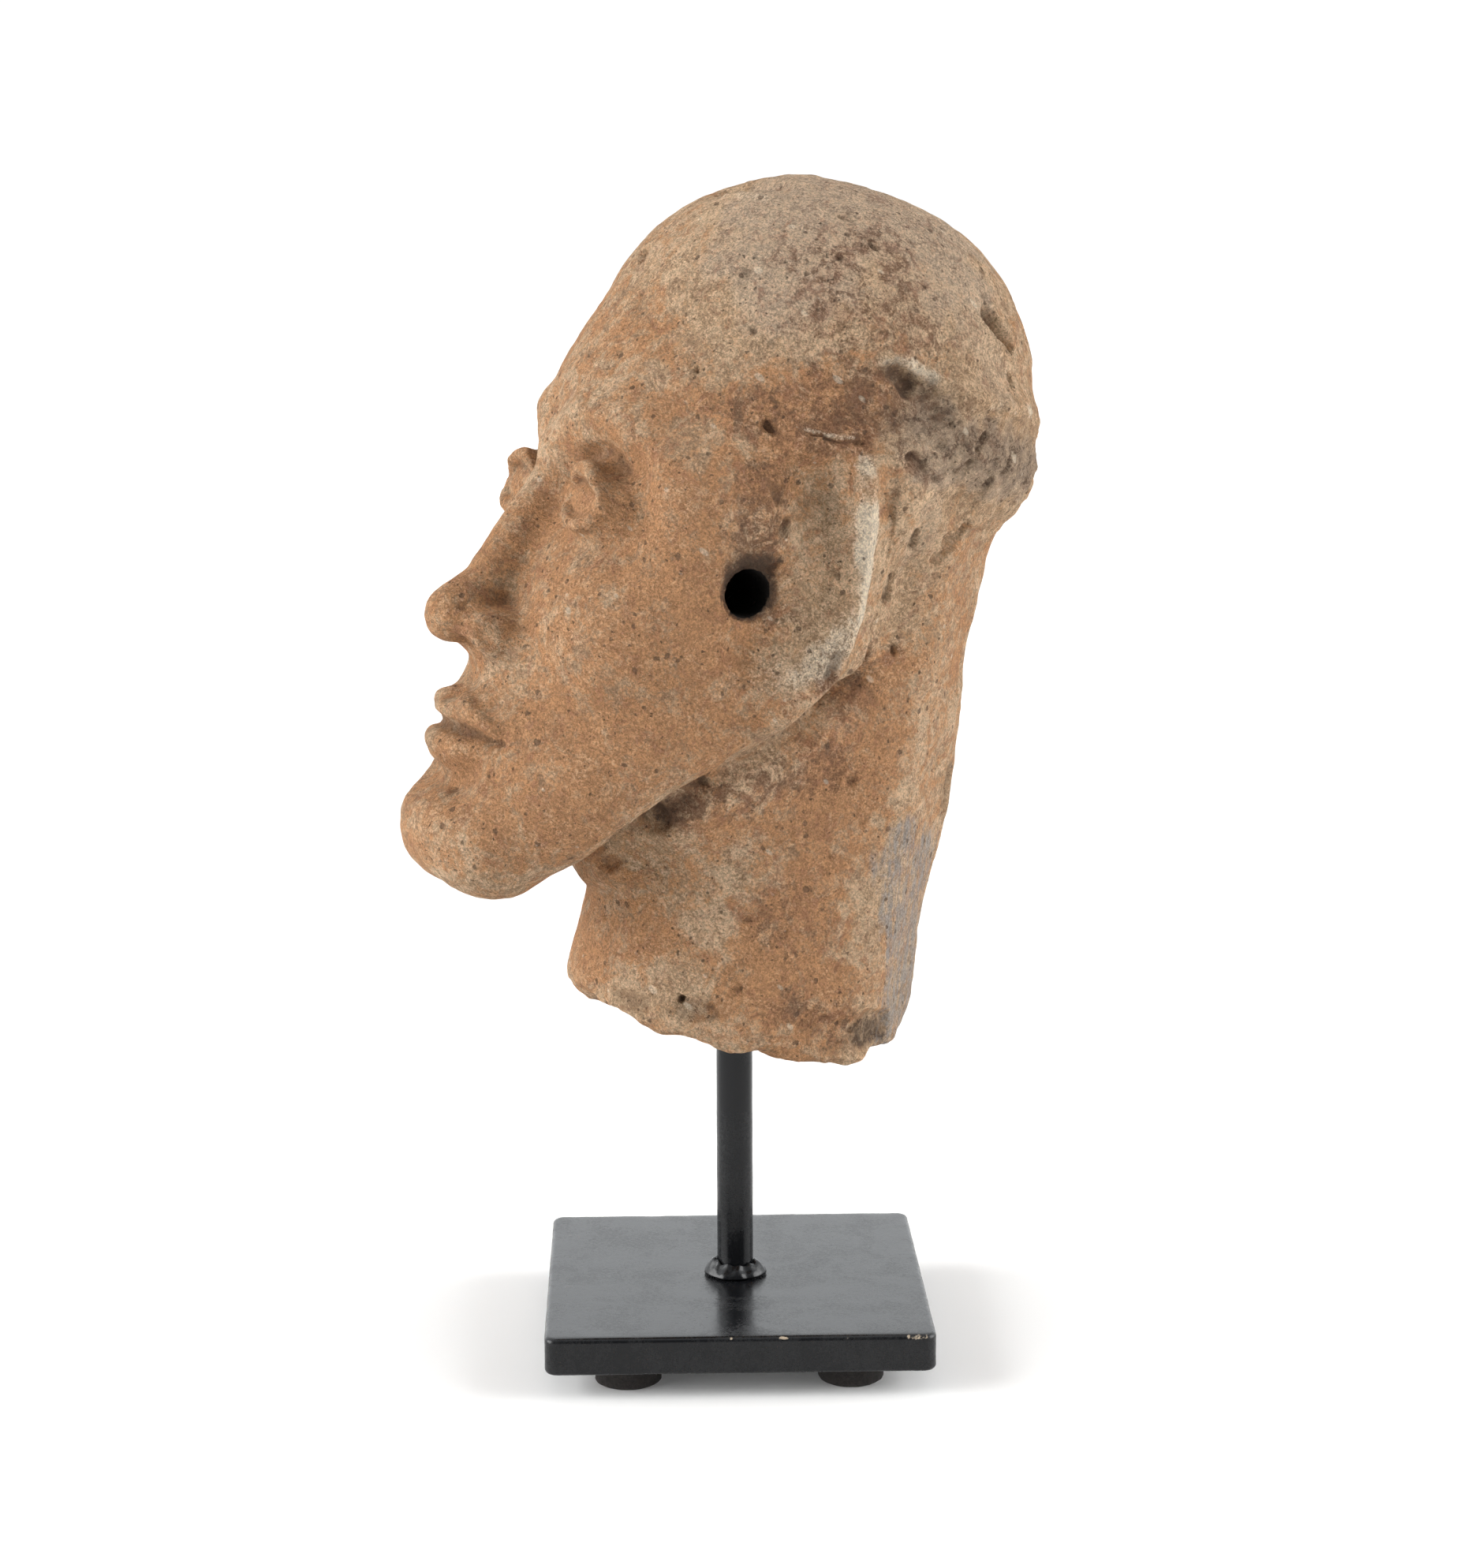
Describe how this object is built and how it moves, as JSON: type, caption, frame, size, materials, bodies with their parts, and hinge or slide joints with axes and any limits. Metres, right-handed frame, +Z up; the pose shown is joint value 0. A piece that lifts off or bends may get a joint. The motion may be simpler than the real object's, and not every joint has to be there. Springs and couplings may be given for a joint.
{
  "type": "terracotta head on a stand",
  "caption": "Ancient fired-clay head broken off at the neck, with a bare dome, drilled ears and a worn face, held up by a round rod on a square black steel plate with felt pads.",
  "frame": {"origin": "on the surface the stand's felt pads rest on, at the centre of the whole object's outline seen from above", "axes": "+Z up; the stand's sides lie along X and Y; the face looks to -Y, turned 22 degrees towards the head's own left, and the head's left side is towards +X"},
  "size_m": [0.0756, 0.099, 0.1836],
  "materials": {
    "terracotta": "matt, gritty fired clay, mottled orange-brown and tan with dark specks and pale crust",
    "stand": "satin black paint, a little chipped at the edges",
    "felt": "dark brown felt"
  },
  "bodies": {
    "root": {"terracotta_head": "terracotta", "stand_rod": "stand", "stand_plate": "stand", "weld_bead": "stand", "felt_pad_front_left": "felt", "felt_pad_front_right": "felt", "felt_pad_back_left": "felt", "felt_pad_back_right": "felt"}
  },
  "joints": []
}
